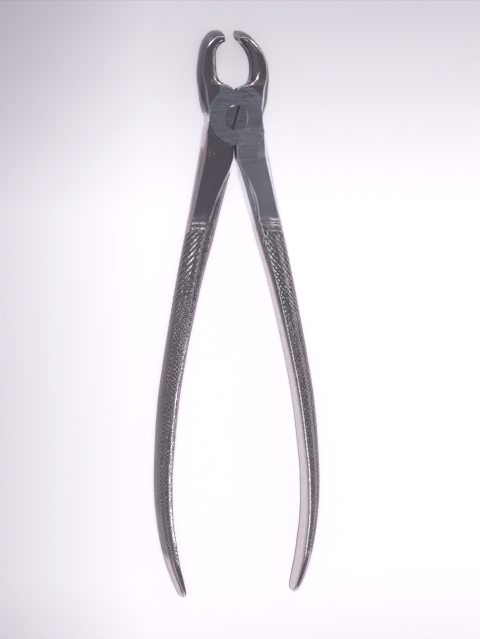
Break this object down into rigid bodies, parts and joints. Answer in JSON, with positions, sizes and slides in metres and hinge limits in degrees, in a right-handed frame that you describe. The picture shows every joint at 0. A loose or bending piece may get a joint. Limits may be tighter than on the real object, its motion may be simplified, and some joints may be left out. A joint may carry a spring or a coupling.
{
  "type": "dental extracting forceps",
  "caption": "Extracting forceps with a lap joint on a slotted pivot screw, hollowed drooping beaks and bowed handles cut with herringbone chequering.",
  "frame": {"origin": "on the pivot screw's axis, in the flat underside of the joint", "axes": "+Y along the forceps' midline towards the beaks, +Z along the pivot screw out of its slotted head, +X to the side of the upper half's handle"},
  "size_m": [0.054, 0.18, 0.0115],
  "materials": {
    "forged_steel": "worn satin, polished on the beaks",
    "screw_steel": "worn satin"
  },
  "bodies": {
    "lower": {"lower_half": "forged_steel", "pivot_screw": "screw_steel"},
    "upper": {"upper_half": "forged_steel"}
  },
  "joints": [
    {"name": "pivot", "type": "hinge", "parent": "lower", "child": "upper", "pos_m": [0, 0, 0], "axis": [0, 0, 1], "range_deg": [-8, 12.5]}
  ]
}
